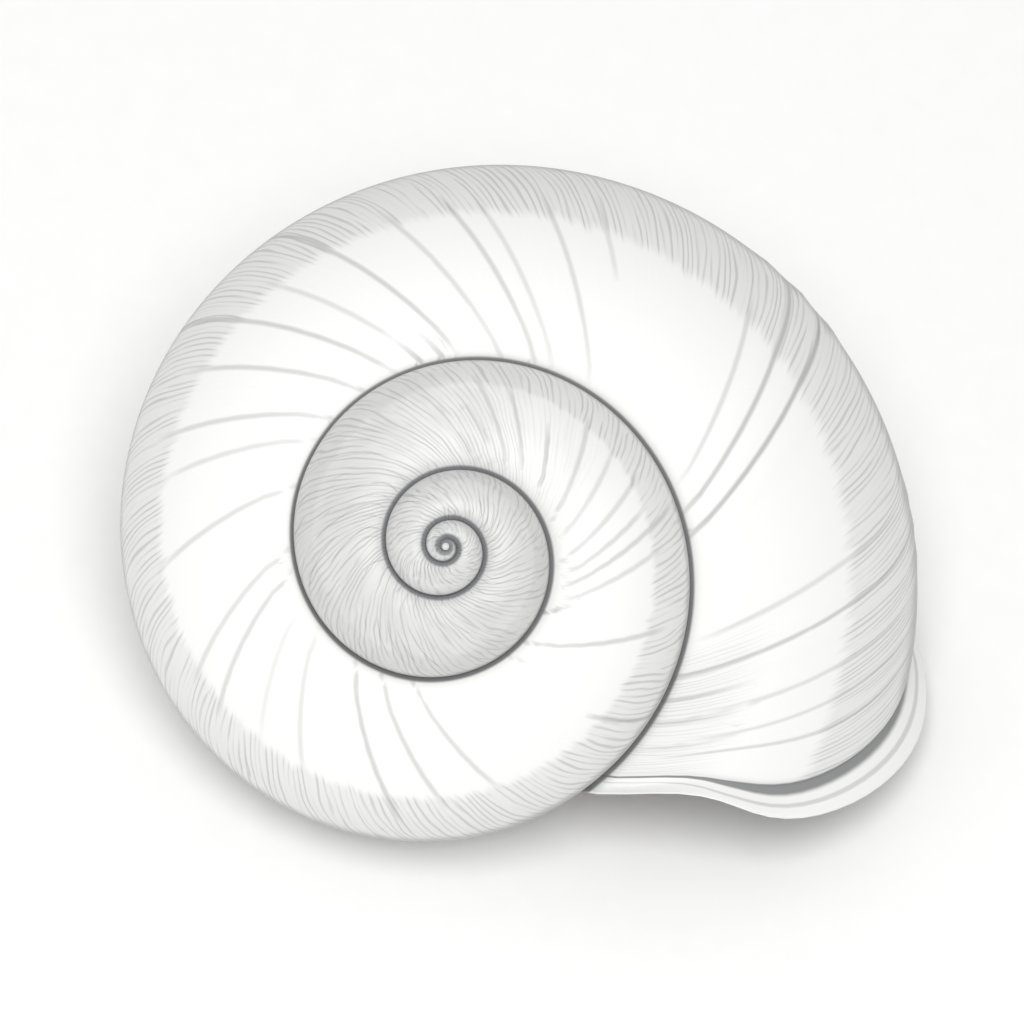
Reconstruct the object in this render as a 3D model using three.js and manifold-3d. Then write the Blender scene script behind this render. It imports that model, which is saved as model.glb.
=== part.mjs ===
import * as THREE from "three";
import { mergeVertices } from "three/addons/utils/BufferGeometryUtils.js";
import Module from "manifold-3d";

// An empty turban shell, in one piece: a hollow tube coiled about an axis, which widens from the
// apex to a flared mouth. It is worked out with the axis upright, and then laid down as it rests.
// Lengths are millimetres and angles degrees. Growth is the angle turned about the axis, clockwise
// seen from the apex: 0 where the last whorl crosses +X, and negative towards the apex.
// Round a whorl's section, 90 is its top, 0 its periphery, -90 its base and -180 its axis side.

// The spiral
const PERIPHERY_RADIUS = 37.1; // from the axis to the outside of the last whorl, at growth 0
const GROWTH_PER_TURN = 0.606; // natural logarithm of how much a whorl widens in a turn, there
const GROWTH_CHANGE = -0.084; // what each further turn adds to that
const MOUTH_GROWTH = 65; // where the lip leaves the suture
const APEX_GROWTH = -4.25 * 360;
const CONE_GROWTH = -3.2 * 360; // down to here the spire is a plain cone
const HOLLOW_GROWTH = -1.9 * 360; // the whorls above this are filled with shell
const NARROWING_GROWTH = -60; // from here to the mouth the last whorl draws in
const NARROWING = 0.036;

// A whorl's section, in shares of its periphery radius
const AXIS_GAP = 0.03; // from the axis to the tube, filled by the pillar
const HEIGHT_OVER_WIDTH = 0.98;
const OUTER_WALL = 0.036;
const AXIS_WALL = 0.06;
const SEAM_ANGLE = -8; // where the next whorl is joined on, just under the periphery

// The pillar, in shares of the mouth's periphery radius
const PILLAR_RADIUS = 0.12;
const PILLAR_FOOT = 0.05; // how far it reaches below the middle of the mouth
const CALLUS_RADIUS = 0.22; // how far round it the base is drawn in to its foot

// The lip leans back from the suture to the periphery, and turns outwards above a groove
const LIP_LEAN = 0.82; // tangent of the angle between the mouth and the axis
const LIP_WAVE = 3.5; // how far the lip is drawn back beside the suture, in growth
const WAVE_ANGLE = 66;
const LIP_FLARE = 2.4; // millimetres, where it is widest
const FLARE_ANGLE = -15;
const FLARE_WIDTH = 4.5; // in growth
const GROOVE_DEPTH = 0.3;

// Growth rests: low ridges across the last whorl where an older lip stood
const REST_GROWTHS = [-4, 31];
const REST_HEIGHT = 0.35;
const REST_WIDTH = 4; // in growth

// How it rests: mouth down, on the lip and on the base behind it
const APEX_LEAN = 36; // of the axis, off upright
const LEAN_GROWTH = 104; // the apex leans this way

const RING_POINTS = 19;
const CREAM_GREY = 0xe4e1da;

const { clamp, degToRad, lerp, radToDeg, smoothstep } = THREE.MathUtils;
const sin = (angle) => Math.sin(degToRad(angle));
const cos = (angle) => Math.cos(degToRad(angle));
const hump = (x, width) => Math.exp(-((x / width) ** 2));

const halfWidth = (1 - AXIS_GAP) / 2;
const halfHeight = halfWidth * HEIGHT_OVER_WIDTH;
const centre = AXIS_GAP + halfWidth;

// Distance from the axis to the whorl's periphery.
function radiusAt(growth) {
  const turns = growth / 360;
  const widening = Math.exp(GROWTH_PER_TURN * turns + GROWTH_CHANGE * turns * turns);
  const drawnIn = clamp((growth - NARROWING_GROWTH) / 75, 0, 1) ** 2;
  return PERIPHERY_RADIUS * widening * (1 - NARROWING * drawnIn);
}

// Angle round the section at which the whorl meets the one before it.
function sutureAngle(growth) {
  const before = radiusAt(growth - 360) / radiusAt(growth);
  const seam = before * (centre + halfWidth * cos(SEAM_ANGLE));
  return radToDeg(Math.acos(clamp((seam - centre) / halfWidth, -1, 1)));
}

// Height of the section's centre: each whorl hangs from the seam on the one before it.
function heightAt(growth) {
  const radius = radiusAt(growth);
  const before = radiusAt(growth - 360);
  const drop = halfHeight * (radius * sin(sutureAngle(growth)) - before * sin(SEAM_ANGLE));
  if (growth < CONE_GROWTH) return (-drop * radius) / (radius - before);
  return heightAt(growth - 360) - drop;
}

// How far a growth line runs ahead of its own periphery, as the mouth's edge does.
function leadAt(angle) {
  const across = centre + halfWidth * Math.max(0, cos(angle));
  const rise = angle < -90 ? -smoothstep(angle, -190, -120) : sin(angle);
  return radToDeg(Math.asin((LIP_LEAN * halfHeight * rise) / across));
}

const sutureLead = leadAt(85);
const mouthRadius = radiusAt(MOUTH_GROWTH - sutureLead);
const footHeight = heightAt(MOUTH_GROWTH - sutureLead) - PILLAR_FOOT * mouthRadius;

// How far the lip, its groove and the growth rests stand out of the wall, in millimetres.
function standOut(line, angle) {
  const behind = MOUTH_GROWTH - line;
  const flare = LIP_FLARE * clamp(1 - behind / FLARE_WIDTH, 0, 1) ** 2;
  const groove = GROOVE_DEPTH * hump(behind - FLARE_WIDTH - 1, 3);
  const rests = REST_GROWTHS.map((rest) => REST_HEIGHT * hump(line - rest, REST_WIDTH));
  const share = Math.sqrt(Math.max(0, cos((angle - FLARE_ANGLE) * 0.7))) * smoothstep(95 - angle, 0, 30);
  return share * rests.reduce((sum, rest) => sum + rest, flare - groove);
}

// A point on a growth line, this many turns before it and at this angle of the section.
// Depth is 0 on the outside of the wall and 1 on its inside.
function wallPoint(line, angle, depth, turnsBefore = 0, lineAngle = angle) {
  const wave = LIP_WAVE * hump(lineAngle - WAVE_ANGLE, 24) * clamp(1 - (MOUTH_GROWTH - line) / 20, 0, 1);
  const turned = line + leadAt(lineAngle) - sutureLead - wave;
  const growth = turned - 360 * turnsBefore;
  const radius = radiusAt(growth);
  const towardsAxis = (1 - cos(angle)) / 2;
  const wall = lerp(OUTER_WALL, AXIS_WALL, towardsAxis ** 2) * radius;
  const reach = radius * halfWidth - depth * wall + (turnsBefore ? 0 : standOut(line, angle));
  const across = radius * centre + reach * cos(angle);
  let height = heightAt(growth) + reach * HEIGHT_OVER_WIDTH * sin(angle);
  if (angle < -90 && !turnsBefore) {
    const nearAxis = 1 - smoothstep(across / mouthRadius, AXIS_GAP, CALLUS_RADIUS);
    const lastTurn = smoothstep(line, MOUTH_GROWTH - 360, MOUTH_GROWTH - 270);
    height = lerp(height, footHeight + 0.02 * mouthRadius, nearAxis * lastTurn * (1 - depth));
  }
  return new THREE.Vector3(across * cos(turned), -across * sin(turned), height);
}

// Outline of the wall along a growth line, let into the wall of the whorl before it at both ends.
// A hollow one goes round the outside and back along the inside. Edge rounds it off as a rim.
function ring(line, hollow, edge) {
  const suture = sutureAngle(line) + 1.5;
  const outside = [];
  for (let i = 0; i < RING_POINTS; i++) {
    outside.push(wallPoint(line, lerp(suture, -180, i / (RING_POINTS - 1)), edge));
  }
  outside.push(wallPoint(line, -140, 0.5, 1, -180));
  if (!hollow) return outside;
  const inside = [wallPoint(line, SEAM_ANGLE - 12, 0.5, 1, suture)];
  for (let i = 0; i < RING_POINTS - 1; i++) {
    inside.push(wallPoint(line, lerp(suture - 5, -190, i / (RING_POINTS - 2)), 1 - edge));
  }
  inside.push(wallPoint(line, -112, 0.5, 1, -180));
  return [...outside, ...inside.reverse()];
}

// Closed surface through rings with the same number of points, capped from side to side at its ends.
function throughRings(rings) {
  const count = rings[0].length;
  const faces = [];
  const quad = (a, b, c, d) => faces.push(a, b, c, a, c, d);
  for (let first = 0; first + count < rings.length * count; first += count) {
    for (let i = 0; i < count; i++) {
      const j = (i + 1) % count;
      quad(first + i, first + count + i, first + count + j, first + j);
    }
  }
  const last = (rings.length - 1) * count;
  for (let i = 0; i + 1 < count / 2; i++) {
    const j = count - 1 - i;
    quad(i, i + 1, j - 1, j);
    quad(last + j - 1, last + i + 1, last + i, last + j);
  }
  return new THREE.BufferGeometry().setFromPoints(rings.flat()).setIndex(faces);
}

const wasm = await Module();
wasm.setup();

function toSolid(geometry) {
  geometry.deleteAttribute("normal");
  geometry.deleteAttribute("uv");
  const merged = mergeVertices(geometry, 1e-4);
  const mesh = new wasm.Mesh({
    numProp: 3,
    vertProperties: new Float32Array(merged.attributes.position.array),
    triVerts: new Uint32Array(merged.index.array),
  });
  return new wasm.Manifold(mesh);
}

// Growth lines that the surface is drawn through: close at the lip, and wider apart in the spire.
function growthLines() {
  const solid = [];
  const hollow = [];
  for (let line = APEX_GROWTH; line < HOLLOW_GROWTH - 1; line += 18) {
    solid.push(line);
  }
  for (let line = HOLLOW_GROWTH; line < MOUTH_GROWTH - 12; line += line < -300 ? 13 : 9.5) {
    hollow.push(line);
  }
  for (const behind of [10, 7, 5, 3.8, 2.6, 1.4, 0.5, 0]) {
    hollow.push(MOUTH_GROWTH - behind);
  }
  solid.push(hollow[0], hollow[1]);
  return { solid, hollow };
}

// The tube in stretches of less than half a turn, so that no stretch runs into itself.
function tube() {
  const { solid, hollow } = growthLines();
  const spire = solid.map((line) => ring(line, false, 0));
  const whorls = hollow.map((line) => ring(line, true, line === MOUTH_GROWTH ? 0.3 : 0));
  const stretches = [];
  for (const [rings, length] of [[spire, 9], [whorls, 12]]) {
    for (let i = 0; i + 1 < rings.length; i += length) {
      stretches.push(toSolid(throughRings(rings.slice(i, i + length + 1))));
    }
  }
  return stretches;
}

// The pillar: a cone down the axis with a round foot.
function pillar() {
  const radius = PILLAR_RADIUS * mouthRadius;
  const profile = [new THREE.Vector2(0, footHeight)];
  for (let angle = 15; angle <= 90; angle += 15) {
    profile.push(new THREE.Vector2(radius * sin(angle), footHeight + radius * (1 - cos(angle))));
  }
  profile.push(new THREE.Vector2(0, heightAt(APEX_GROWTH)));
  return toSolid(new THREE.LatheGeometry(profile, 18).rotateX(Math.PI / 2));
}

// The first, closed knob of shell at the apex.
function nucleus() {
  const radius = 0.8 * radiusAt(APEX_GROWTH);
  const knob = new THREE.SphereGeometry(radius, 10, 6);
  return toSolid(knob.translate(0, 0, heightAt(APEX_GROWTH) + 0.3 * radius));
}

// All of it as one body. Where stretches meet, grains too small to see are split off and dropped.
function oneBody(solids) {
  const joined = solids.reduce((whole, solid) => whole.add(solid));
  const bodies = joined.decompose().sort((a, b) => b.volume() - a.volume());
  const { vertProperties, triVerts } = bodies[0].getMesh();
  const geometry = new THREE.BufferGeometry();
  geometry.setAttribute("position", new THREE.BufferAttribute(vertProperties, 3));
  geometry.setIndex(new THREE.BufferAttribute(triVerts, 1));
  geometry.computeVertexNormals();
  return geometry;
}

const shellMaterial = new THREE.MeshStandardMaterial({
  color: CREAM_GREY,
  roughness: 0.5,
  metalness: 0,
  flatShading: true,
});

const shell = new THREE.Mesh(oneBody([...tube(), pillar(), nucleus()]), shellMaterial);
shell.name = "shell";
shell.rotation.z = degToRad(LEAN_GROWTH - 90);

const leaning = new THREE.Group();
leaning.rotation.x = degToRad(APEX_LEAN);
leaning.add(shell);

const group = new THREE.Group();
group.add(leaning);
group.updateMatrixWorld(true);
const box = new THREE.Box3().setFromObject(group, true);
group.position.set(-(box.min.x + box.max.x) / 2, -(box.min.y + box.max.y) / 2, -box.min.z);

export default group;
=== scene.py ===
import bpy
import math
import numpy as np
from mathutils import Matrix, Vector


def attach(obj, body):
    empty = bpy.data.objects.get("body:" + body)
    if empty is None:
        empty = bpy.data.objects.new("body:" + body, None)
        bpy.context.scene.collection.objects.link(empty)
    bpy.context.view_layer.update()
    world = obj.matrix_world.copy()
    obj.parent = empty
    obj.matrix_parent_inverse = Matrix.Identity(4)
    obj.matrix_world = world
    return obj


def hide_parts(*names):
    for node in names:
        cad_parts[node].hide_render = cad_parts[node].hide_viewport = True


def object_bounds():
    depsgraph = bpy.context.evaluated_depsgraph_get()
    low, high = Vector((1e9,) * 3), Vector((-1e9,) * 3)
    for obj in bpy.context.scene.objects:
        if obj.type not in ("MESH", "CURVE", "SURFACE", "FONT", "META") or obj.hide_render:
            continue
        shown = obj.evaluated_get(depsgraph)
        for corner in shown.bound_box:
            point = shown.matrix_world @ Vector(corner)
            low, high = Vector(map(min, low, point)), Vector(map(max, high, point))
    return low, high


# An empty turban shell, drawn from a pencil study that looks down on its apex.
# Shell sizes are in millimetres and angles in degrees, as the CAD has them; Blender's are metres.
# Growth is the angle turned about the axis, clockwise seen from the apex, 0 where the last whorl
# crosses +X before the shell is laid down. Round a whorl's section 90 is its top, 0 its periphery,
# -90 its base and -180 the side towards the axis. A line is one growth line of the wall, and its
# number is the growth at which it meets the suture.

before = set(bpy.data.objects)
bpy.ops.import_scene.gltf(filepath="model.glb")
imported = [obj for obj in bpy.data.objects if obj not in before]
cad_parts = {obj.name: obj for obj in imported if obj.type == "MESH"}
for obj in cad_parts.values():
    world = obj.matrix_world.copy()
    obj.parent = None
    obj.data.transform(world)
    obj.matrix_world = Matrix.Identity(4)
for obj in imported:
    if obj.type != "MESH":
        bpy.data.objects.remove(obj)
cadLow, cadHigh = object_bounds()
print("frame: the CAD shell is loaded")

# The gap, the walls and the narrowing are shares of the whorl's radius where they are.
spiral = {
    "peripheryRadius": 37.1,  # where growth is 0
    "growthPerTurn": 0.606,  # natural logarithm of how much a turn widens
    "growthChange": -0.084,  # the older turns widen more
    "mouthGrowth": 65,
    "apexGrowth": -4.7 * 360,
    "coneGrowth": -3.2 * 360,  # the whorls above this lie on a plain cone
    "narrowingGrowth": -60,  # from here the last whorl is drawn in a little
    "narrowingLength": 75,  # and all of it this much further on
    "narrowing": 0.036,
    "axisGap": 0.03,
    "heightOverWidth": 0.98,
    "outerWall": 0.036,
    "axisWall": 0.06,
    "seamAngle": -8,  # where the next whorl is joined on, just under the periphery
}

lip = {
    "lean": 0.82,  # tangent of the angle between the mouth and the axis
    "sutureLead": 44.2,  # growth from the lip's periphery to where it leaves the suture
    "leadEnds": (-190, -120),  # section angles between which the lead dies out
    "leadSoftening": 0.006,  # rounds the change in the lead at the top and the base
    "drawnBack": 1.0,  # of growth, all along the lip
    "wave": 7.0,  # of growth, and this much more beside the suture
    "waveAngle": 72,
    "waveWidth": 18,
    "waveLength": 20,  # growth behind the mouth over which both come in
    "flare": 2.4,
    "flareAngle": -15,
    "flareSpread": 0.7,
    "flareWidth": 4.5,
    "plainAtSuture": (95, 30),  # no flare, groove or ridge here, and all of them this much lower
    "grooveDepth": 0.5,
    "grooveBehind": 4.0,
    "grooveBehindAtSuture": 7.5,
    "grooveTurns": (62, 84),  # section angles between which it draws away from the lip
    "grooveWidth": 1.3,
}

# Older lips left low ridges across the last whorl.
growthRests = {
    # growth, height
    "ridges": [(-16, 0.1), (-10, 0.15), (-4, 0.13), (24, 0.08), (30, 0.1), (36, 0.08)],
    "width": 1.6,
    "fadeOnBase": (-60, 10),
}

# Nearer the periphery, growth lines older than the lip sweep back a little less than the lip does.
lineSweep = {
    "angles": [-90, 0, 45, 90, 105],
    "sweep": [-30, -15, -6.5, 0, -9],  # what that takes off a line's number at these angles
    "behindLip": 8,  # lines closer to the lip than this sweep as it does
    "comesInOver": 30,
}

# The callus that closes the base is a low dome about the axis. Its sizes are shares of the radius
# at the mouth.
callus = {
    "foot": 0.05,  # from the middle of the mouth down to the dome's lowest point
    "curve": 2.4,
    "radius": 0.22,
    "oldLines": (-130, -60),  # older lines than these add the next two sizes, younger ones don't
    "oldGap": 0.06,
    "oldRadius": 0.08,
    "wallAbove": 0.004,  # the coil's wall lies this far above the foot of the pillar
    "turnBehindMouth": (360, 270),  # growth at which it begins, and at which it is whole
    "colourAngles": (95, 130),  # below the periphery
    "colourRadius": (0.2, 0.34),
}

laidDown = {"apexLean": 36, "turn": 14}  # off upright, and about the shell's own axis

halfWidth = (1 - spiral["axisGap"]) / 2
halfHeight = halfWidth * spiral["heightOverWidth"]
centre = spiral["axisGap"] + halfWidth
mouthGrowth = spiral["mouthGrowth"]


def hump(x, width):
    return np.exp(-((x / width) ** 2))


def smooth(x, low, high):
    share = np.clip((x - low) / (high - low), 0, 1)
    return share * share * (3 - 2 * share)


def sine(angle):
    return np.sin(np.radians(angle))


def cosine(angle):
    return np.cos(np.radians(angle))


def radiusAt(growth):
    turns = np.asarray(growth, float) / 360
    widening = np.exp(spiral["growthPerTurn"] * turns + spiral["growthChange"] * turns**2)
    drawnIn = (growth - spiral["narrowingGrowth"]) / spiral["narrowingLength"]
    drawnIn = np.clip(drawnIn, 0, 1) ** 2
    return spiral["peripheryRadius"] * widening * (1 - spiral["narrowing"] * drawnIn)


# The section angle at which a whorl meets the seam on the one before it.
def sutureAngle(growth):
    before = radiusAt(growth - 360) / radiusAt(growth)
    seam = before * (centre + halfWidth * cosine(spiral["seamAngle"]))
    return np.degrees(np.arccos(np.clip((seam - centre) / halfWidth, -1, 1)))


# How far a whorl hangs below the one before it, and the height that a plain cone would give it.
def dropAt(growth):
    radius, before = radiusAt(growth), radiusAt(growth - 360)
    drop = halfHeight * (radius * sine(sutureAngle(growth)) - before * sine(spiral["seamAngle"]))
    return drop, -drop * radius / (radius - before)


coneDrop, coneHeight = dropAt(spiral["coneGrowth"])
coneShare = coneDrop / (dropAt(spiral["coneGrowth"] - 360)[1] - coneHeight)


# Each whorl hangs from the seam on the one before it, up to the cone at the apex.
def heightAt(growth):
    growth = np.atleast_1d(np.asarray(growth, float))
    drop, height = dropAt(growth)
    height = height * coneShare
    below = growth >= spiral["coneGrowth"]
    if below.any():
        height[below] = heightAt(growth[below] - 360) - drop[below]
    return height


# Growth lines run the way the mouth's edge does, which leans back from suture to periphery.
def leadAt(angle):
    angle = np.asarray(angle, float)
    outward = (cosine(angle) + np.sqrt(cosine(angle) ** 2 + lip["leadSoftening"])) / 2
    across = centre + halfWidth * outward
    rise = np.where(angle < -90, -smooth(angle, *lip["leadEnds"]), sine(np.minimum(angle, 90)))
    return np.degrees(np.arcsin(lip["lean"] * halfHeight * rise / across))


sutureLead = lip["sutureLead"]
lipTurn = mouthGrowth - sutureLead
mouthRadius = float(radiusAt(lipTurn))
mouthHeight = float(heightAt(lipTurn)[0])
footHeight = mouthHeight - callus["foot"] * mouthRadius


def callusHeight(across):
    return footHeight + callus["curve"] * across**2 / mouthRadius


# The number of the drawn growth line that crosses a line of the wall at this section angle.
def growthMark(line, angle):
    sweep = np.interp(angle, lineSweep["angles"], lineSweep["sweep"])
    older = (mouthGrowth - lineSweep["behindLip"] - line) / lineSweep["comesInOver"]
    return line + sweep * np.clip(older, 0, 1)


def grooveLine(angle):
    atSuture = smooth(angle, *lip["grooveTurns"])
    behind = lip["grooveBehind"] * (1 - atSuture)
    return mouthGrowth - behind - lip["grooveBehindAtSuture"] * atSuture


# How far the outside stands out from the plain whorl: the lip's flare, its groove and the ridges.
def standOut(line, angle):
    behind = mouthGrowth - line
    flare = lip["flare"] * np.clip(1 - behind / lip["flareWidth"], 0, 1) ** 2
    groove = lip["grooveDepth"] * hump(line - grooveLine(angle), lip["grooveWidth"])
    mark = growthMark(line, angle)
    width = growthRests["width"]
    ridges = sum(height * hump(mark - at, width) for at, height in growthRests["ridges"])
    ridges = ridges * smooth(angle, *growthRests["fadeOnBase"])
    facing = cosine((angle - lip["flareAngle"]) * lip["flareSpread"])
    end, length = lip["plainAtSuture"]
    share = np.sqrt(np.maximum(0, facing)) * smooth(end - angle, 0, length)
    return share * (flare - groove + ridges)


# Points of the wall, from its outside, depth 0, to its inside, depth 1. Those that are tucked into
# the whorl before take their place round its section, and follow the line at lineAngle.
def wallPoints(line, angle, depth=0.0, turnsBefore=0, lineAngle=None):
    line, angle, depth = np.broadcast_arrays(*(np.asarray(a, float) for a in (line, angle, depth)))
    lineAngle = angle if lineAngle is None else lineAngle
    nearLip = np.clip(1 - (mouthGrowth - line) / lip["waveLength"], 0, 1)
    wave = lip["drawnBack"] + lip["wave"] * hump(lineAngle - lip["waveAngle"], lip["waveWidth"])
    turn = line + leadAt(lineAngle) - sutureLead - wave * nearLip
    growth = turn - 360 * turnsBefore
    radius = radiusAt(growth)
    towardsAxis = ((1 - cosine(angle)) / 2) ** 2
    wall = radius * (spiral["outerWall"] * (1 - towardsAxis) + spiral["axisWall"] * towardsAxis)
    reach = radius * halfWidth - depth * wall
    if not turnsBefore:
        reach = reach + standOut(line, angle)
    across = radius * centre + reach * cosine(angle)
    height = heightAt(growth.ravel()).reshape(growth.shape)
    height = height + reach * spiral["heightOverWidth"] * sine(angle)
    if not turnsBefore:
        older = 1 - smooth(line, *callus["oldLines"])
        inner = spiral["axisGap"] + callus["oldGap"] * older
        outer = callus["radius"] + callus["oldRadius"] * older
        nearAxis = 1 - smooth(across / mouthRadius, inner, outer)
        start, whole = callus["turnBehindMouth"]
        lastTurn = smooth(line, mouthGrowth - start, mouthGrowth - whole)
        drawn = np.where(angle < -90, nearAxis * lastTurn * (1 - depth), 0)
        dome = callusHeight(across) + callus["wallAbove"] * mouthRadius
        height = height * (1 - drawn) + dome * drawn
    return np.stack([across * cosine(turn), -across * sine(turn), height], axis=-1)


# The lines that the wall is drawn through, closest together where the drawing shows the most.
wallMesh = {
    "sectionPoints": 64,
    "spireStep": 4.5,
    "spireEnd": -420,  # growth up to which the lines of the spire go
    "whorlStep": 1.3,
    "whorlEnd": 16,  # growth behind the mouth
    "lipStep": 0.45,
    "rimWidth": 0.9,
    "rimAngles": [0, 25, 50, 72, 86],  # of the rounding from the outside to the rim's middle
}


def growthLines():
    roundTheRim = np.array(wallMesh["rimAngles"])
    whorlEnd = mouthGrowth - wallMesh["whorlEnd"]
    rimStart = mouthGrowth - wallMesh["rimWidth"]
    spire = np.arange(spiral["apexGrowth"], wallMesh["spireEnd"], wallMesh["spireStep"])
    whorls = np.arange(wallMesh["spireEnd"], whorlEnd, wallMesh["whorlStep"])
    nearLip = np.arange(whorlEnd, rimStart, wallMesh["lipStep"])
    rim = rimStart + wallMesh["rimWidth"] * sine(roundTheRim)
    lines = np.concatenate([spire, whorls, nearLip, rim])
    edges = np.concatenate([np.zeros(len(lines) - len(rim)), 0.5 - 0.5 * cosine(roundTheRim)])
    return lines, edges


# The wall's two edges are tucked into the whorl before, so that no gap shows at the seam.
tucked = {
    "depth": 0.5,
    "outsidePastSuture": 1.5,
    "insideShort": 5,  # of where the outside begins
    "outsideEnd": -180,
    "insideStart": -190,
    "besideAxis": (-140, -112),  # section angles of two points in the whorl before
    "underSeam": 12,  # and how far below the seam the third one is
}


# Each line goes round the outside of the wall, into the whorl before, and back along the inside.
def coiledWall():
    lines, edges = growthLines()
    line, edge = lines[:, None], edges[:, None]
    ones = np.ones_like(line)
    suture = sutureAngle(lines)[:, None] + tucked["outsidePastSuture"]
    share = np.linspace(0, 1, wallMesh["sectionPoints"])[None, :]
    outEnd, inStart = tucked["outsideEnd"], tucked["insideStart"]
    outAngle = suture * (1 - share) + outEnd * share
    inAngle = inStart * (1 - share) + (suture - tucked["insideShort"]) * share
    seam = (spiral["seamAngle"] - tucked["underSeam"]) * ones
    parts = [wallPoints(line, outAngle, edge)]
    for angle in tucked["besideAxis"]:
        parts.append(wallPoints(line, angle * ones, tucked["depth"], 1, outEnd * ones))
    parts.append(wallPoints(line, inAngle, 1 - edge))
    parts.append(wallPoints(line, seam, tucked["depth"], 1, suture))
    between = [(outEnd + inStart) / 2 * ones, inStart * ones]
    angles = np.concatenate([outAngle, *between, inAngle, suture], axis=1)
    depths = [edge + 0 * outAngle, ones, ones, 1 - edge + 0 * inAngle, ones]
    depths = np.concatenate(depths, axis=1)
    return np.concatenate(parts, axis=1), line + 0 * angles, angles, depths


# The wall's faces between its lines, and a cap across the wall at the apex and at the rim.
def wallFaces(rings, count):
    first = np.arange(rings - 1)[:, None] * count
    point = np.arange(count)[None, :]
    after = (point + 1) % count
    corners = [first + point, first + count + point, first + count + after, first + after]
    quads = np.stack(corners, axis=-1)
    faces = [tuple(quad) for quad in quads.reshape(-1, 4).tolist()]
    for end in (0, (rings - 1) * count):
        caps = [(end, end + count - 2, end + count - 1)]
        for out in range(wallMesh["sectionPoints"]):
            back = count - 2 - out
            caps.append((end + out, end + out + 1, end + back - 1, end + back))
        faces += caps if end == 0 else [cap[::-1] for cap in caps]
    return faces


wall, lineOf, angleOf, depthOf = coiledWall()
rings, count = wall.shape[:2]
wallQuads = wallFaces(rings, count)
print("coil:", rings, "growth lines of", count, "points")


# A turned form about the axis: rows of (radius, height), closed at both ends.
def turnedForm(profile, segments, offset):
    points, faces = [], []
    for radius, height in profile:
        for k in range(segments):
            a = 2 * math.pi * k / segments
            points.append((radius * math.cos(a), radius * math.sin(a), height))
    for row in range(len(profile) - 1):
        for k in range(segments):
            after = (k + 1) % segments
            low, high = offset + row * segments, offset + (row + 1) * segments
            faces.append((low + k, low + after, high + after, high + k))
    last = offset + (len(profile) - 1) * segments
    faces.append(tuple(offset + k for k in reversed(range(segments))))
    faces.append(tuple(last + k for k in range(segments)))
    return points, faces


# The solid pillar in the axis gap, from the callus up into the spire.
pillar = {
    "radius": 0.1,  # at its foot, of the radius at the mouth
    "middle": 0.04,  # of that, where the foot's rows begin
    "steps": 10,
    "topRadius": 0.35,  # of the foot's
    "topGrowth": -900.0,
    "segments": 64,
}
footRadius = pillar["radius"] * mouthRadius
pillarProfile = []
for step in range(pillar["steps"] + 1):
    across = pillar["middle"] + (1 - pillar["middle"]) * step / pillar["steps"]
    across = footRadius * across
    pillarProfile.append((across, callusHeight(across)))
pillarTop = float(heightAt(pillar["topGrowth"])[0])
pillarProfile.append((footRadius * pillar["topRadius"], pillarTop))
pillarPoints, pillarFaces = turnedForm(pillarProfile, pillar["segments"], rings * count)

# The shell began as a tiny round knob, which is the apex. Its radius is a share of the coil's
# there, and its rise a share of its own.
knob = {"radius": 0.9, "rise": 0.2, "end": 84, "steps": 12, "segments": 32}
knobRadius = knob["radius"] * float(radiusAt(spiral["apexGrowth"]))
knobCentre = float(heightAt(spiral["apexGrowth"])[0]) + knob["rise"] * knobRadius
knobProfile = []
for step in range(knob["steps"] + 1):
    a = -knob["end"] + 2 * knob["end"] * step / knob["steps"]
    knobProfile.append((knobRadius * float(cosine(a)), knobCentre + knobRadius * float(sine(a))))
knobOffset = rings * count + len(pillarPoints)
knobPoints, knobFaces = turnedForm(knobProfile, knob["segments"], knobOffset)

coil = np.concatenate([wall.reshape(-1, 3), np.array(pillarPoints), np.array(knobPoints)])
faces = wallQuads + pillarFaces + knobFaces

# Laid down as it rests, and fitted into the box of the CAD shell
toRest = Matrix.Rotation(math.radians(laidDown["apexLean"]), 3, "X")
toRest = toRest @ Matrix.Rotation(math.radians(laidDown["turn"]), 3, "Z")
restAxes = np.array(toRest)
laid = coil @ restAxes.T
low, high = laid.min(0), laid.max(0)
cadSize = (np.array(cadHigh) - np.array(cadLow)) * 1000
fit = min(1.0, float((cadSize / (high - low)).min()))
under = np.array([(low[0] + high[0]) / 2, (low[1] + high[1]) / 2, low[2]])
cadUnder = np.array([(cadLow[0] + cadHigh[0]) / 2, (cadLow[1] + cadHigh[1]) / 2, cadLow[2]])


def placed(points):
    return (np.asarray(points) @ restAxes.T - under) * fit / 1000 + cadUnder


shellMesh = bpy.data.meshes.new("turbanShell")
shellMesh.from_pydata(placed(coil).tolist(), [], faces)
shellMesh.update()
shellMesh.shade_smooth()
shell = bpy.data.objects.new("turbanShell", shellMesh)
bpy.context.scene.collection.objects.link(shell)
print("shell:", len(shellMesh.vertices), "points, fitted by", round(fit, 4))

# What the finish is drawn by is worked out on the points of the wall. First the way to the two
# sutures, the whorl's own and the next one's, in mm over the surface.
farAway = 99.0
turnOf = lineOf + leadAt(angleOf) - sutureLead
isOutside = np.zeros_like(lineOf)
isOutside[:, : wallMesh["sectionPoints"]] = 1
perDegree = math.pi / 180 * halfWidth * radiusAt(turnOf)
ownSuture = (sutureAngle(turnOf) - angleOf) * perDegree
ownSuture = np.where(isOutside > 0, ownSuture, farAway)
sutureShort = 3  # growth short of the lip where the next whorl's suture ends
covered = (isOutside > 0) & (turnOf + 360 < mouthGrowth - sutureShort)
nextSuture = np.where(covered, (angleOf - spiral["seamAngle"]) * perDegree, farAway)

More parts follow.
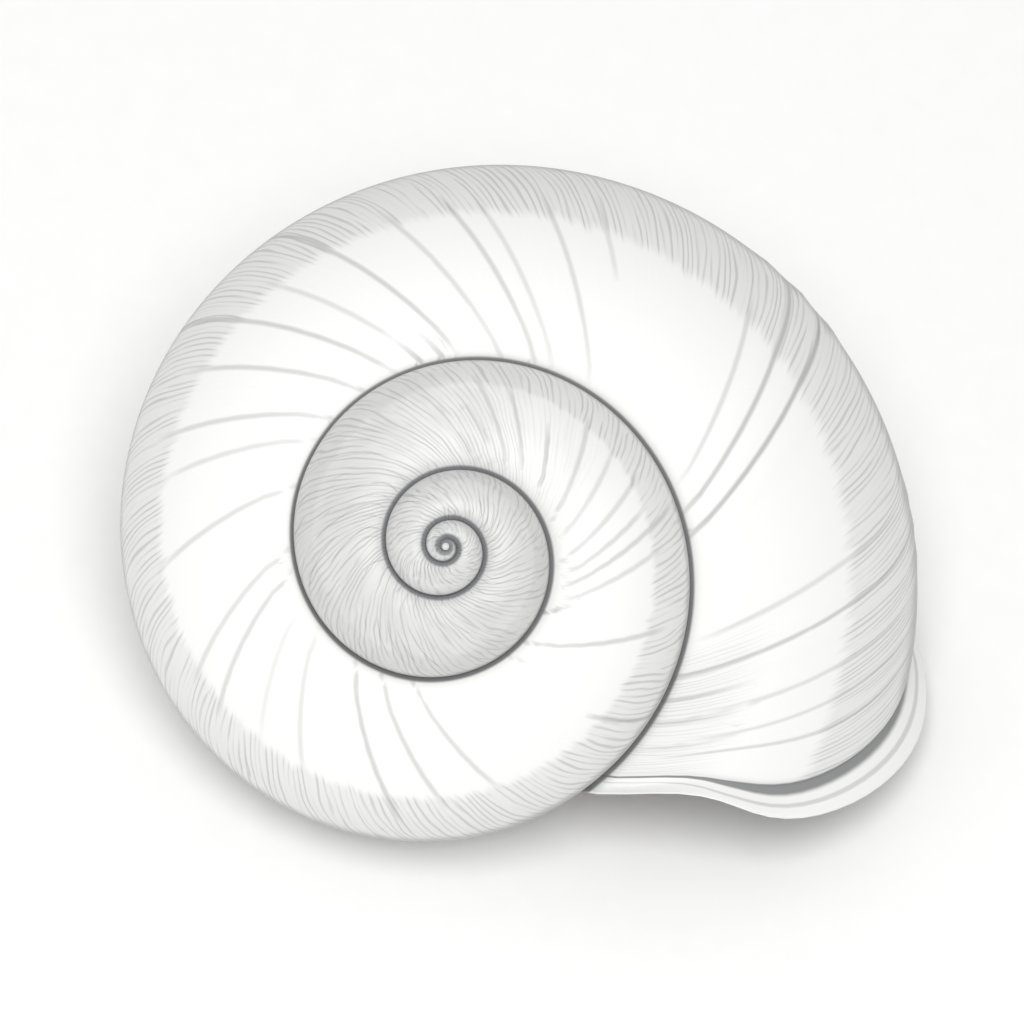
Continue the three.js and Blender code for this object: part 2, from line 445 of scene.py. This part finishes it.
# Mother-of-pearl lines the inside, and covers the old whorl where the mouth takes it in.
pearlCover = {
    "depth": (0.5, 0.95),  # through the wall
    "behindMouth": (-2.2, 0.6),  # mm, measured at right angles to the axis
    "allBeyond": 80,  # growth, more than a turn behind the lip, from where all is inside
    "oldWhorl": 345,  # growth behind the mouth
    "underPeriphery": (4, 10),
}
flat = wall[..., :2]
beyondLip = flat[..., 0] * -sine(lipTurn) + flat[..., 1] * -cosine(lipTurn)
behindMouth = lip["lean"] * (wall[..., 2] - mouthHeight) - beyondLip
farInside = turnOf < lipTurn - 360 - pearlCover["allBeyond"]
insideMouth = np.where(farInside, 1, smooth(behindMouth, *pearlCover["behindMouth"]))
underNext = smooth(-angleOf, *pearlCover["underPeriphery"])
underNext = (turnOf < mouthGrowth - pearlCover["oldWhorl"]) * underNext
pearlInside = (1 - isOutside) * smooth(depthOf, *pearlCover["depth"])
pearlOf = np.maximum(pearlInside, isOutside * insideMouth * underNext)

fromAxis = np.hypot(flat[..., 0], flat[..., 1]) / mouthRadius
callusOf = 1 - smooth(fromAxis, *callus["colourRadius"])
callusOf = smooth(-angleOf, *callus["colourAngles"]) * callusOf * isOutside

# How much shell was grown by each line, in mm along the periphery. A line's middle is about as far
# behind its suture as lineMiddle says.
measure = {"beyondEnds": 60, "step": 1.0, "lineMiddle": 20}
markOf = growthMark(lineOf, angleOf)
firstStep = spiral["apexGrowth"] - measure["beyondEnds"]
lineSteps = np.arange(firstStep, mouthGrowth + measure["beyondEnds"], measure["step"])
peripheryOf = radiusAt(lineSteps - measure["lineMiddle"])
grownTo = np.cumsum(math.pi / 180 * peripheryOf)
grownOf = np.interp(markOf, lineSteps, grownTo)

# The stronger growth lines, read off the drawing: growth, from and to this section angle, strength
growthLineMarks = [
    (-441, 97, 62, 0.35), (-430, 96, 55, 0.35), (-421, 94, 40, 0.45), (-411, 90, 45, 0.45),
    (-398, 92, 62, 0.6), (-383, 96, 40, 0.5), (-372, 92, 45, 0.4), (-361, 96, 42, 0.45),
    (-353, 92, 45, 0.5), (-347, 92, 20, 0.55), (-340, 90, 40, 0.45), (-336, 103, 90, 0.9),
    (-318, 100, 35, 0.55), (-308, 98, 90, 0.45), (-293, 50, -10, 0.6), (-262, 99, 45, 0.5),
    (-248, 99, 42, 0.55), (-236, 96, 30, 0.6), (-216, 93, 45, 0.35), (-205, 90, 50, 0.25),
    (-193, 94, 40, 0.5), (-185, 96, 40, 0.45), (-163, 95, 45, 0.45), (-146, 93, 48, 0.4),
    (-137, 96, 40, 0.5), (-124, 96, 42, 0.55), (-113, 92, 5, 0.6), (-104, 96, 86, 0.9),
    (-104, 85, 42, 0.4), (-97.5, 96, 86, 0.75), (-93, 90, 5, 0.6), (-81, 95, 38, 0.45),
    (-71, 93, 38, 0.55), (-66, 90, 40, 0.4), (-55, 88, 36, 0.45), (-46, 58, 32, 0.35),
    (-20, 86, 38, 0.45), (-13.5, 90, 8, 0.75), (-7.5, 90, 8, 0.85), (19, 82, 25, 0.4),
    (27, 90, 10, 0.65), (33, 90, 74, 0.65), (37.5, 74, 18, 0.4), (39, 88, 74, 0.5),
    (44, 74, 8, 0.4), (46, 84, 74, 0.4), (50, 78, 10, 0.5),
]
# Each point keeps its way to the nearest of them, and how strong that one is where it is close.
markEnds = {"fadeAtStart": 5, "fadeAtEnd": 8, "faintest": 0.01, "close": 1.35}
startFade, endFade = markEnds["fadeAtStart"], markEnds["fadeAtEnd"]
offsetOf = np.full_like(lineOf, farAway)
strengthOf = np.zeros_like(lineOf)
for at, start, end, strength in growthLineMarks:
    offset = markOf - at
    window = smooth(start + startFade - angleOf, 0, 2 * startFade)
    window = window * smooth(angleOf, end - endFade, end + endFade)
    near = (np.abs(offset) < np.abs(offsetOf)) & (window > markEnds["faintest"])
    offsetOf[near] = offset[near]
    strengthOf[near] = (strength * window * (np.abs(offset) < markEnds["close"]))[near]
offsetInMm = offsetOf * math.pi / 180 * fromAxis * mouthRadius

# What each attribute holds on the wall, on the pillar and on the knob
sutureReach = (-9, farAway)
attributes = {
    "growthLine": (lineOf, 60, spiral["apexGrowth"]),
    "grown": (grownOf, 0, 0),
    "sectionAngle": (angleOf, -150, 60),
    "ownSuture": (np.clip(ownSuture, *sutureReach), farAway, farAway),
    "nextSuture": (np.clip(nextSuture, *sutureReach), farAway, farAway),
    "pearl": (pearlOf, 0.35, 0),
    "callus": (callusOf, 1, 0),
    "fromGroove": (lineOf - grooveLine(angleOf), -50, -50),
    "lineOffset": (offsetInMm, farAway, farAway),
    "lineStrength": (strengthOf, 0, 0),
}
for name, (onWall, onPillar, onKnob) in attributes.items():
    layer = shellMesh.attributes.new(name, "FLOAT", "POINT")
    elsewhere = [onPillar] * len(pillarPoints) + [onKnob] * len(knobPoints)
    values = np.concatenate([onWall.ravel(), elsewhere])
    layer.data.foreach_set("value", values.astype(np.float32))

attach(shell, "root")
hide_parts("shell")
print("shell: attributes for the finish are stored")


def linear(hexColour):
    parts = [int(hexColour[i : i + 2], 16) / 255 for i in (1, 3, 5)]
    parts = [c / 12.92 if c <= 0.04045 else ((c + 0.055) / 1.055) ** 2.4 for c in parts]
    return (*parts, 1.0)


# Adds a node with its settings and inputs, a value or a socket each, and gives its output.
def addNode(tree, kind, settings, inputs, output=0):
    node = tree.nodes.new("ShaderNode" + kind)
    for key, value in settings.items():
        setattr(node, key, value)
    for key, value in inputs.items() if isinstance(inputs, dict) else enumerate(inputs):
        if isinstance(value, bpy.types.NodeSocket):
            tree.links.new(value, node.inputs[key])
        else:
            node.inputs[key].default_value = value
    return node.outputs[output]


# The outside is aragonite shell laid down in growth lines, bleached and sea-rubbed: off-white and
# satin, with grey streaks along the growth lines, thickest at the periphery and on the old whorls.
# The inside is mother-of-pearl: the same aragonite in flat tiles, smooth, with faint soft tints.
# Grey is also painted as shade: a belt along the periphery, a soft shade beside the sutures, and
# the lip's groove; the sutures' own dark line is dirt and painted shade both.
bleachedAragonite = {
    "white": "#f0f0ee",
    "grey": "#8f9090",
    "washGrey": "#c2c3c2",
    # a dark grey for the sutures' line, dirt and painted shade both, and for the painted shade in
    # the lip's groove
    "creaseDirtAndShadeGrey": "#6d6e70",
    "pearl": "#e9e6e1",
    "pearlPink": "#ecdcdc",
    "pearlGreen": "#d8e4de",
    "callus": "#f6f4ef",
    "ior": 1.53,
    "roughness": 0.42,
    "dirtRoughness": (0.09, -0.04),  # more where it is dirty or streaked, less elsewhere
    "pearlRoughness": 0.16,
    "callusGloss": 0.8,  # of the pearl's
    "strokeSpacing": 0.62,  # mm between the streaks; real ones are near 0.2, too fine to show
    "strokeSway": 3,  # of those spacings
    "mouthStrokes": 0.6,  # strength of the few streaks before the mouth
    "bandEdge": (13, 38),  # how ragged the band's edge is, and its lowest section angle
    "lineSpacing": 8.5,  # degrees between the stronger growth lines
    "threadBeyondGroove": 2.3,  # growth from the lip's groove to the fine thread beside its edge
    # the painted shade in the lip's groove
    "grooveShadeEdge": (0.7, 1.3, 0.85, 0),  # of its width, and its darkness inside and outside
    "reliefDepth": 0.05,  # mm, of which the next three take these shares
    "ribRelief": 0.35,
    "lineRelief": 0.9,
    "streakRelief": 0.3,
}

stuff = bleachedAragonite
shellStuff = bpy.data.materials.new("bleachedAragonite")
shellStuff.use_nodes = True
tree = shellStuff.node_tree
surface = tree.nodes["Principled BSDF"]

times, plus, minus, over = (
    {"operation": name} for name in ("MULTIPLY", "ADD", "SUBTRACT", "DIVIDE")
)
most, least, unsigned, timesPlus, sineOf = (
    {"operation": name} for name in ("MAXIMUM", "MINIMUM", "ABSOLUTE", "MULTIPLY_ADD", "SINE")
)
eased = {"interpolation_type": "SMOOTHSTEP"}
inColour, inNumbers = {"data_type": "RGBA"}, {"data_type": "FLOAT"}
# A Mix node's sockets go by number, because its colours and its numbers share their names.
mixShare, firstNumber, secondNumber, firstColour, secondColour, mixedColour = 0, 2, 3, 6, 7, 2

field = {}
for layer in shellMesh.attributes:
    if layer.data_type == "FLOAT" and layer.domain == "POINT":
        field[layer.name] = addNode(tree, "Attribute", {"attribute_name": layer.name}, {}, "Fac")

# Noises laid along the growth lines: how fine they are across the lines, per mm, and along them,
# per degree, then the offset, the detail and the roughness
noises = {
    "sway": (0.35, 0.02, 3, 2, 0.5),
    "breaks": (1.3, 0.016, 7, 2, 0.6),
    "ragged": (0.8, 0, 11, 2, 0.7),
    "patches": (0.3, 0.03, 23, 2, 0.5),
    "dirt": (0.25, 0.02, 31, 3, 0.6),
    "tints": (0.08, 0.02, 41, 2, 0.55),
    "ribs": (2.2, 0.006, 53, 2, 0.6),
}
alongLines = addNode(tree, "CombineXYZ", {}, [field["grown"], field["sectionAngle"]])
for name, (acrossThem, alongThem, offset, detail, roughness) in noises.items():
    scale = (acrossThem, alongThem, 1)
    place = {"Vector": alongLines, "Scale": scale, "Location": (0, 0, offset)}
    place = addNode(tree, "Mapping", {}, place)
    values = {"Vector": place, "Scale": 1, "Detail": detail, "Roughness": roughness}
    field[name] = addNode(tree, "TexNoise", {}, values)

ownWay = addNode(tree, "Math", unsigned, [field["ownSuture"]])
nextWay = addNode(tree, "Math", unsigned, [field["nextSuture"]])
field["toSuture"] = addNode(tree, "Math", least, [ownWay, nextWay])
field["toLine"] = addNode(tree, "Math", unsigned, [field["lineOffset"]])
toGroove = addNode(tree, "Math", unsigned, [field["fromGroove"]])
pastThread = addNode(tree, "Math", minus, [field["fromGroove"], stuff["threadBeyondGroove"]])
field["toThread"] = addNode(tree, "Math", unsigned, [pastThread])
raggedEdge = addNode(tree, "Math", timesPlus, [field["ragged"], *stuff["bandEdge"]])
field["underEdge"] = addNode(tree, "Math", minus, [raggedEdge, field["sectionAngle"]])

# Streaks: a wave across the growth lines, swayed and broken up along them
sway = addNode(tree, "Math", times, [field["sway"], 2 * math.pi * stuff["strokeSway"]])
wavesPerMm = 2 * math.pi / stuff["strokeSpacing"]
waves = addNode(tree, "Math", timesPlus, [field["grown"], wavesPerMm, sway])
field["wave"] = addNode(tree, "Math", sineOf, [waves])

# Uneven cells between growth lines, for the old whorls, where the drawing is too small to follow
cellAt = addNode(tree, "Math", times, [field["growthLine"], 1 / stuff["lineSpacing"]])
cells = {"voronoi_dimensions": "1D", "feature": "DISTANCE_TO_EDGE"}
cellAt = {"W": cellAt, "Scale": 1, "Randomness": 1}
field["cellEdge"] = addNode(tree, "TexVoronoi", cells, cellAt, "Distance")

# Shares between 0 and 1: what each goes by, its two ends there, and the share at each of them
shares = {
    "stroke": ("wave", 0, 1, 0, 1),
    "broken": ("breaks", 0.34, 0.6, 0, 1),
    "inBand": ("underEdge", -2, 3.5, 0, 1),
    "fadeBelow": ("sectionAngle", -80, -15, 0.3, 1),
    # the ends of a belt of painted shade along the periphery
    "abovePeripheryShade": ("underEdge", 29, 40, 0, 1),
    "belowPeripheryShade": ("underEdge", 50, 66, 1, 0),
    "oldWhorl": ("growthLine", -470, -345, 1, 0),
    "firstWhorls": ("growthLine", -500, -430, 1, 0),
    "atMouth": ("growthLine", 16, 30, 0, 1),
    "besideSuture": ("sectionAngle", 64, 80, 0, 1),
    "beforeGroove": ("fromGroove", -1.5, -0.5, 1, 0),
    "lineWidth": ("toLine", 0.05, 0.42, 1, 0),
    "cellLine": ("cellEdge", 0.01, 0.09, 1, 0),
    "linesShowing": ("patches", 0.42, 0.58, 0, 0.5),
    "blotch": ("dirt", 0.4, 0.65, 0, 1),
    # painted shade beside the sutures, and the sutures' dark line, which is dirt and painted shade
    # both
    "shade": ("toSuture", 0.1, 1.2, 0.22, 0),
    "sutureDirtAndShade": ("toSuture", 0.3, 0.55, 0.9, 0),
    # how wide the painted shade in the lip's groove is
    "grooveWidth": ("sectionAngle", 80, 45, 0.4, 1.05),
    "thread": ("toThread", 0.1, 0.35, 0.4, 0),
    "offBase": ("sectionAngle", -120, -60, 0, 1),
    "pinkPearl": ("tints", 0.35, 0.5, 1, 0),
    "greenPearl": ("tints", 0.52, 0.66, 0, 1),
}
share = {}
for name, (source, *ends) in shares.items():
    share[name] = addNode(tree, "MapRange", eased, [field[source], *ends])

# Where the streaks show: below a ragged edge beside the periphery, all over the old whorls, and a
# few at the suture before the mouth. The lip beyond its groove is clean.
strokes = addNode(tree, "Math", times, [share["stroke"], share["broken"]])
band = addNode(tree, "Math", times, [share["inBand"], share["fadeBelow"]])
nearMouth = addNode(tree, "Math", times, [share["atMouth"], share["besideSuture"]])
fewer = addNode(tree, "Math", times, [nearMouth, stuff["mouthStrokes"]])
streaked = addNode(tree, "Math", most, [band, share["oldWhorl"]])
streaked = addNode(tree, "Math", most, [streaked, fewer])
streaked = addNode(tree, "Math", times, [streaked, share["beforeGroove"]])
streaks = addNode(tree, "Math", times, [strokes, streaked])
band = addNode(tree, "Math", times, [band, share["beforeGroove"]])
# A belt of painted shade along the periphery, where the whorl turns away from the light
paintedPeripheryShade = addNode(tree, "Math", times, [share["abovePeripheryShade"], share["belowPeripheryShade"]])
paintedPeripheryShade = addNode(tree, "Math", times, [paintedPeripheryShade, share["beforeGroove"]])
blotches = addNode(tree, "Math", times, [share["blotch"], share["oldWhorl"]])

# The stronger growth lines: those of the drawing, and uneven ones on the old whorls
marks = addNode(tree, "Math", times, [share["lineWidth"], field["lineStrength"]])
oldLines = addNode(tree, "Math", times, [share["cellLine"], share["linesShowing"]])
oldLines = addNode(tree, "Math", times, [oldLines, share["firstWhorls"]])
strongLines = addNode(tree, "Math", most, [marks, oldLines])

# Painted shade in the lip's groove behind the flare, which is narrower beside the suture and ends
# on the base
grooveSide = addNode(tree, "Math", over, [toGroove, share["grooveWidth"]])
groove = addNode(tree, "MapRange", eased, [grooveSide, *stuff["grooveShadeEdge"]])
groove = addNode(tree, "Math", times, [groove, share["offBase"]])

# What tints the white, laid over one another: where, how much of it, and its colour
tintLayers = [
    (share["oldWhorl"], 0.3, "washGrey"),
    (share["firstWhorls"], 0.42, "washGrey"),
    (blotches, 0.4, "washGrey"),
    (band, 0.3, "washGrey"),
    (nearMouth, 0.2, "washGrey"),
    # a belt of painted shade along the periphery, where the whorl turns away from the light
    (paintedPeripheryShade, 0.62, "grey"),
    (streaks, 0.4, "grey"),
    (strongLines, 0.74, "grey"),
    # painted shade beside the sutures, the sutures' dark line of dirt and painted shade, and
    # painted shade in the lip's groove
    (share["shade"], 1, "grey"),
    (share["sutureDirtAndShade"], 1, "creaseDirtAndShadeGrey"),
    (groove, 1, "creaseDirtAndShadeGrey"),
    (share["thread"], 1, "grey"),
    (field["callus"], 1, "callus"),
]
colour = linear(stuff["white"])
for where, strength, name in tintLayers:
    amount = addNode(tree, "Math", times, [where, strength])
    tint = {mixShare: amount, firstColour: colour, secondColour: linear(stuff[name])}
    colour = addNode(tree, "Mix", inColour, tint, mixedColour)

pearlColour = linear(stuff["pearl"])
for where, name in (("pinkPearl", "pearlPink"), ("greenPearl", "pearlGreen")):
    tint = {mixShare: share[where], firstColour: pearlColour, secondColour: linear(stuff[name])}
    pearlColour = addNode(tree, "Mix", inColour, tint, mixedColour)
inside = {mixShare: field["pearl"], firstColour: colour, secondColour: pearlColour}
colour = addNode(tree, "Mix", inColour, inside, mixedColour)
tree.links.new(colour, surface.inputs["Base Color"])

callusGloss = addNode(tree, "Math", times, [field["callus"], stuff["callusGloss"]])
gloss = addNode(tree, "Math", most, [field["pearl"], callusGloss])
unclean = addNode(tree, "Math", plus, [field["dirt"], streaks])
dirtier, cleaner = stuff["dirtRoughness"]
satin = addNode(tree, "Math", timesPlus, [unclean, dirtier, stuff["roughness"] + cleaner])
roughness = {mixShare: gloss, firstNumber: satin, secondNumber: stuff["pearlRoughness"]}
roughness = addNode(tree, "Mix", inNumbers, roughness)
tree.links.new(roughness, surface.inputs["Roughness"])
surface.inputs["IOR"].default_value = stuff["ior"]
surface.inputs["Metallic"].default_value = 0.0

# Fine ribs between the growth lines, felt more than seen, and the lines themselves sunk a little
linesDepth = addNode(tree, "Math", times, [strongLines, stuff["lineRelief"]])
sunk = addNode(tree, "Math", timesPlus, [streaks, stuff["streakRelief"], linesDepth])
ribs = addNode(tree, "Math", times, [field["ribs"], stuff["ribRelief"]])
relief = addNode(tree, "Math", minus, [ribs, sunk])
matt = addNode(tree, "Math", minus, [1, gloss])
relief = addNode(tree, "Math", times, [relief, matt])
bump = {"Strength": 1, "Distance": stuff["reliefDepth"] / 1000, "Height": relief}
tree.links.new(addNode(tree, "Bump", {}, bump), surface.inputs["Normal"])
shellMesh.materials.append(shellStuff)
print("finish: bleached shell and mother-of-pearl")

# The floor is a sheet of smooth drawing paper, pressed cotton pulp: matt, with a faint mottle
drawingPaper = {
    "light": "#fdfdfd",
    "dark": "#f9f9f8",
    "roughness": 0.9,
    "mottle": 2.5,  # mm
    "halfSize": 3,  # m
}

half = drawingPaper["halfSize"]
corners = [(-half, -half, 0), (half, -half, 0), (half, half, 0), (-half, half, 0)]
floorMesh = bpy.data.meshes.new("floor")
floorMesh.from_pydata(corners, [], [(0, 1, 2, 3)])
floor = bpy.data.objects.new("floor", floorMesh)
bpy.context.scene.collection.objects.link(floor)
paper = bpy.data.materials.new("drawingPaper")
paper.use_nodes = True
paperTree = paper.node_tree
paperSurface = paperTree.nodes["Principled BSDF"]
overFloor = addNode(paperTree, "TexCoord", {}, {}, "Object")
mottle = {"Vector": overFloor, "Scale": 1000 / drawingPaper["mottle"], "Detail": 2}
mottle = addNode(paperTree, "TexNoise", {}, mottle)
dark, light = linear(drawingPaper["dark"]), linear(drawingPaper["light"])
tint = {mixShare: mottle, firstColour: dark, secondColour: light}
paperColour = addNode(paperTree, "Mix", inColour, tint, mixedColour)
paperTree.links.new(paperColour, paperSurface.inputs["Base Color"])
paperSurface.inputs["Roughness"].default_value = drawingPaper["roughness"]
floorMesh.materials.append(paper)
print("floor: drawing paper")

drawingView = {
    "widthOfView": 81.4,  # mm across the picture, halfway down the spire
    "pixels": 1024,  # across the drawing
    "apexAt": (446, 546),  # the apex's pixel in it
    "tilt": (0.043, 0.05),  # off the axis, to the left and up
    "spire": 20,  # mm from the apex down to where the width is measured
    "lens": 1200,
    "sensor": 36,
    "clip": (0.05, 20),  # m
}

right, up, axis = restAxes.T
forward = up * drawingView["tilt"][1] - right * drawingView["tilt"][0] - axis
forward = forward / np.linalg.norm(forward)
right = right - forward * (right @ forward)
right = right / np.linalg.norm(right)
up = np.cross(right, forward)
apex = placed([0, 0, knobCentre + knobRadius])
pixel = drawingView["widthOfView"] / drawingView["pixels"] / 1000
middlePixel = drawingView["pixels"] / 2
aside = middlePixel - drawingView["apexAt"][0]
above = drawingView["apexAt"][1] - middlePixel
aim = apex + (right * aside + up * above) * pixel + forward * drawingView["spire"] / 1000
away = drawingView["widthOfView"] / 1000 * drawingView["lens"] / drawingView["sensor"]
cameraData = bpy.data.cameras.new("camera")
cameraData.lens = drawingView["lens"]
cameraData.sensor_width = drawingView["sensor"]
cameraData.clip_start, cameraData.clip_end = drawingView["clip"]
camera = bpy.data.objects.new("camera", cameraData)
bpy.context.scene.collection.objects.link(camera)
stand = Matrix([list(right), list(up), list(-forward)]).transposed().to_4x4()
stand.translation = Vector(aim - forward * away)
camera.matrix_world = stand
bpy.context.scene.camera = camera

softStudio = {
    "sky": 0.62,
    "lamps": [
        # name, to the right, up, back towards the camera (m), watts, size (m)
        ("overCamera", 0.03, 0.13, 0.75, 3.1, 0.4),
        ("lowLeft", -0.6, -0.15, 0.35, 0.35, 0.35),
    ],
}

world = bpy.data.worlds.new("softStudio")
world.use_nodes = True
world.node_tree.nodes["Background"].inputs["Color"].default_value = (1, 1, 1, 1)
world.node_tree.nodes["Background"].inputs["Strength"].default_value = softStudio["sky"]
bpy.context.scene.world = world
middle = Vector((cadLow + cadHigh) / 2)
for name, sideways, upwards, back, watts, size in softStudio["lamps"]:
    lampData = bpy.data.lights.new(name, "AREA")
    lampData.energy = watts
    lampData.shape = "DISK"
    lampData.size = size
    lamp = bpy.data.objects.new(name, lampData)
    bpy.context.scene.collection.objects.link(lamp)
    lamp.location = middle + Vector(right * sideways + up * upwards - forward * back)
    lamp.rotation_euler = (middle - lamp.location).to_track_quat("-Z", "Y").to_euler()
bpy.context.scene.view_settings.view_transform = "Standard"
print("stage: camera and lamps")
